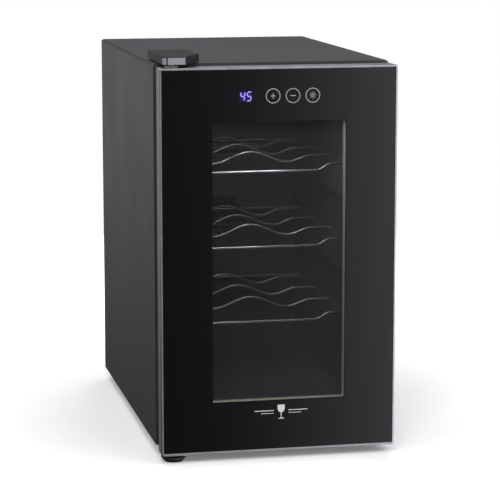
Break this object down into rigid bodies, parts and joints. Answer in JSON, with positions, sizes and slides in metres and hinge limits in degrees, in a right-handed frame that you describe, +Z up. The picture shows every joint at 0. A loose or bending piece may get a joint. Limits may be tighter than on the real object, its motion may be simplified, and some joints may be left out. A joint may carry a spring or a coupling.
{
  "type": "wine cooler",
  "caption": "Small countertop thermoelectric wine cooler with a hinged double-glazed door, sliding wire racks and touch controls.",
  "frame": {"origin": "on the floor under the middle of the whole cooler's outline", "axes": "+Z up, +X to the right as the door is seen from outside, the door faces -Y"},
  "size_m": [0.29, 0.484, 0.492],
  "materials": {
    "cabinet_paint": "satin",
    "galvanised_steel": "satin",
    "foam": "matte",
    "liner_plastic": "satin",
    "black_plastic": "satin",
    "aluminium": "satin",
    "ceramic": "matte",
    "circuit_board": "satin",
    "lens_plastic": "satin",
    "foot_rubber": "matte",
    "zinc_steel": "satin",
    "silver_trim": "satin",
    "tinted_glass": "polished",
    "black_ink": "gloss",
    "gasket_rubber": "matte",
    "nylon": "satin",
    "chrome_wire": "polished"
  },
  "bodies": {
    "cabinet": {"outer_wrap": "cabinet_paint", "base_panel": "galvanised_steel", "back_panel": "cabinet_paint", "back_screw_1": "zinc_steel", "back_screw_2": "zinc_steel", "back_screw_3": "zinc_steel", "back_screw_4": "zinc_steel", "insulation": "foam", "inner_liner": "liner_plastic", "fan_cover": "liner_plastic", "cold_sink": "aluminium", "cold_fan_frame": "black_plastic", "cold_block": "aluminium", "thermoelectric_module": "ceramic", "hot_sink": "aluminium", "hot_fan_frame": "black_plastic", "fan_grille": "black_plastic", "power_board": "circuit_board", "power_inlet": "black_plastic", "light_board": "circuit_board", "light_lens": "lens_plastic", "temperature_probe": "black_plastic", "foot_front_left": "foot_rubber", "foot_front_right": "foot_rubber", "foot_rear_left": "foot_rubber", "foot_rear_right": "foot_rubber", "top_hinge_bracket": "zinc_steel", "top_hinge_pin": "zinc_steel", "top_hinge_screw_1": "zinc_steel", "top_hinge_screw_2": "zinc_steel", "top_hinge_cover": "black_plastic", "lower_hinge_bracket": "zinc_steel", "lower_hinge_pin": "zinc_steel", "lower_hinge_screw_1": "zinc_steel", "lower_hinge_screw_2": "zinc_steel"},
    "door": {"front_trim": "silver_trim", "outer_glass": "tinted_glass", "glass_print": "black_ink", "glazing_spacer": "aluminium", "inner_glass": "tinted_glass", "door_frame": "silver_trim", "door_liner": "black_plastic", "door_gasket": "gasket_rubber", "control_board": "circuit_board", "display_module": "black_plastic", "touch_pad_plus": "nylon", "touch_pad_minus": "nylon", "touch_pad_light": "nylon", "top_bushing": "nylon", "bottom_bushing": "nylon"},
    "cold_fan": {"cold_fan_rotor": "black_plastic"},
    "hot_fan": {"hot_fan_rotor": "black_plastic"},
    "upper_rack": {"rack_upper": "chrome_wire"},
    "middle_rack": {"rack_middle": "chrome_wire"},
    "lower_rack": {"rack_lower": "chrome_wire"}
  },
  "joints": [
    {"name": "door_hinge", "type": "hinge", "parent": "cabinet", "child": "door", "pos_m": [-0.127, -0.2215, 0.245], "axis": [0, 0, -1], "range_deg": [0, 105]},
    {"name": "upper_rack_slide", "type": "slide", "parent": "cabinet", "child": "upper_rack", "axis": [0, -1, 0], "range_m": [0, 0.07]},
    {"name": "middle_rack_slide", "type": "slide", "parent": "cabinet", "child": "middle_rack", "axis": [0, -1, 0], "range_m": [0, 0.07]},
    {"name": "lower_rack_slide", "type": "slide", "parent": "cabinet", "child": "lower_rack", "axis": [0, -1, 0], "range_m": [0, 0.07]},
    {"name": "cold_fan_spin", "type": "hinge", "parent": "cabinet", "child": "cold_fan", "pos_m": [0, 0.1355, 0.24525], "axis": [0, 1, 0], "continuous": true},
    {"name": "hot_fan_spin", "type": "hinge", "parent": "cabinet", "child": "hot_fan", "pos_m": [0, 0.2246, 0.24525], "axis": [0, 1, 0], "continuous": true}
  ],
  "couplings": [
    {"joint": "upper_rack_slide", "follows": "door_hinge", "m_per_rad": 0.03819},
    {"joint": "middle_rack_slide", "follows": "door_hinge", "m_per_rad": 0.03819},
    {"joint": "lower_rack_slide", "follows": "door_hinge", "m_per_rad": 0.03819}
  ]
}
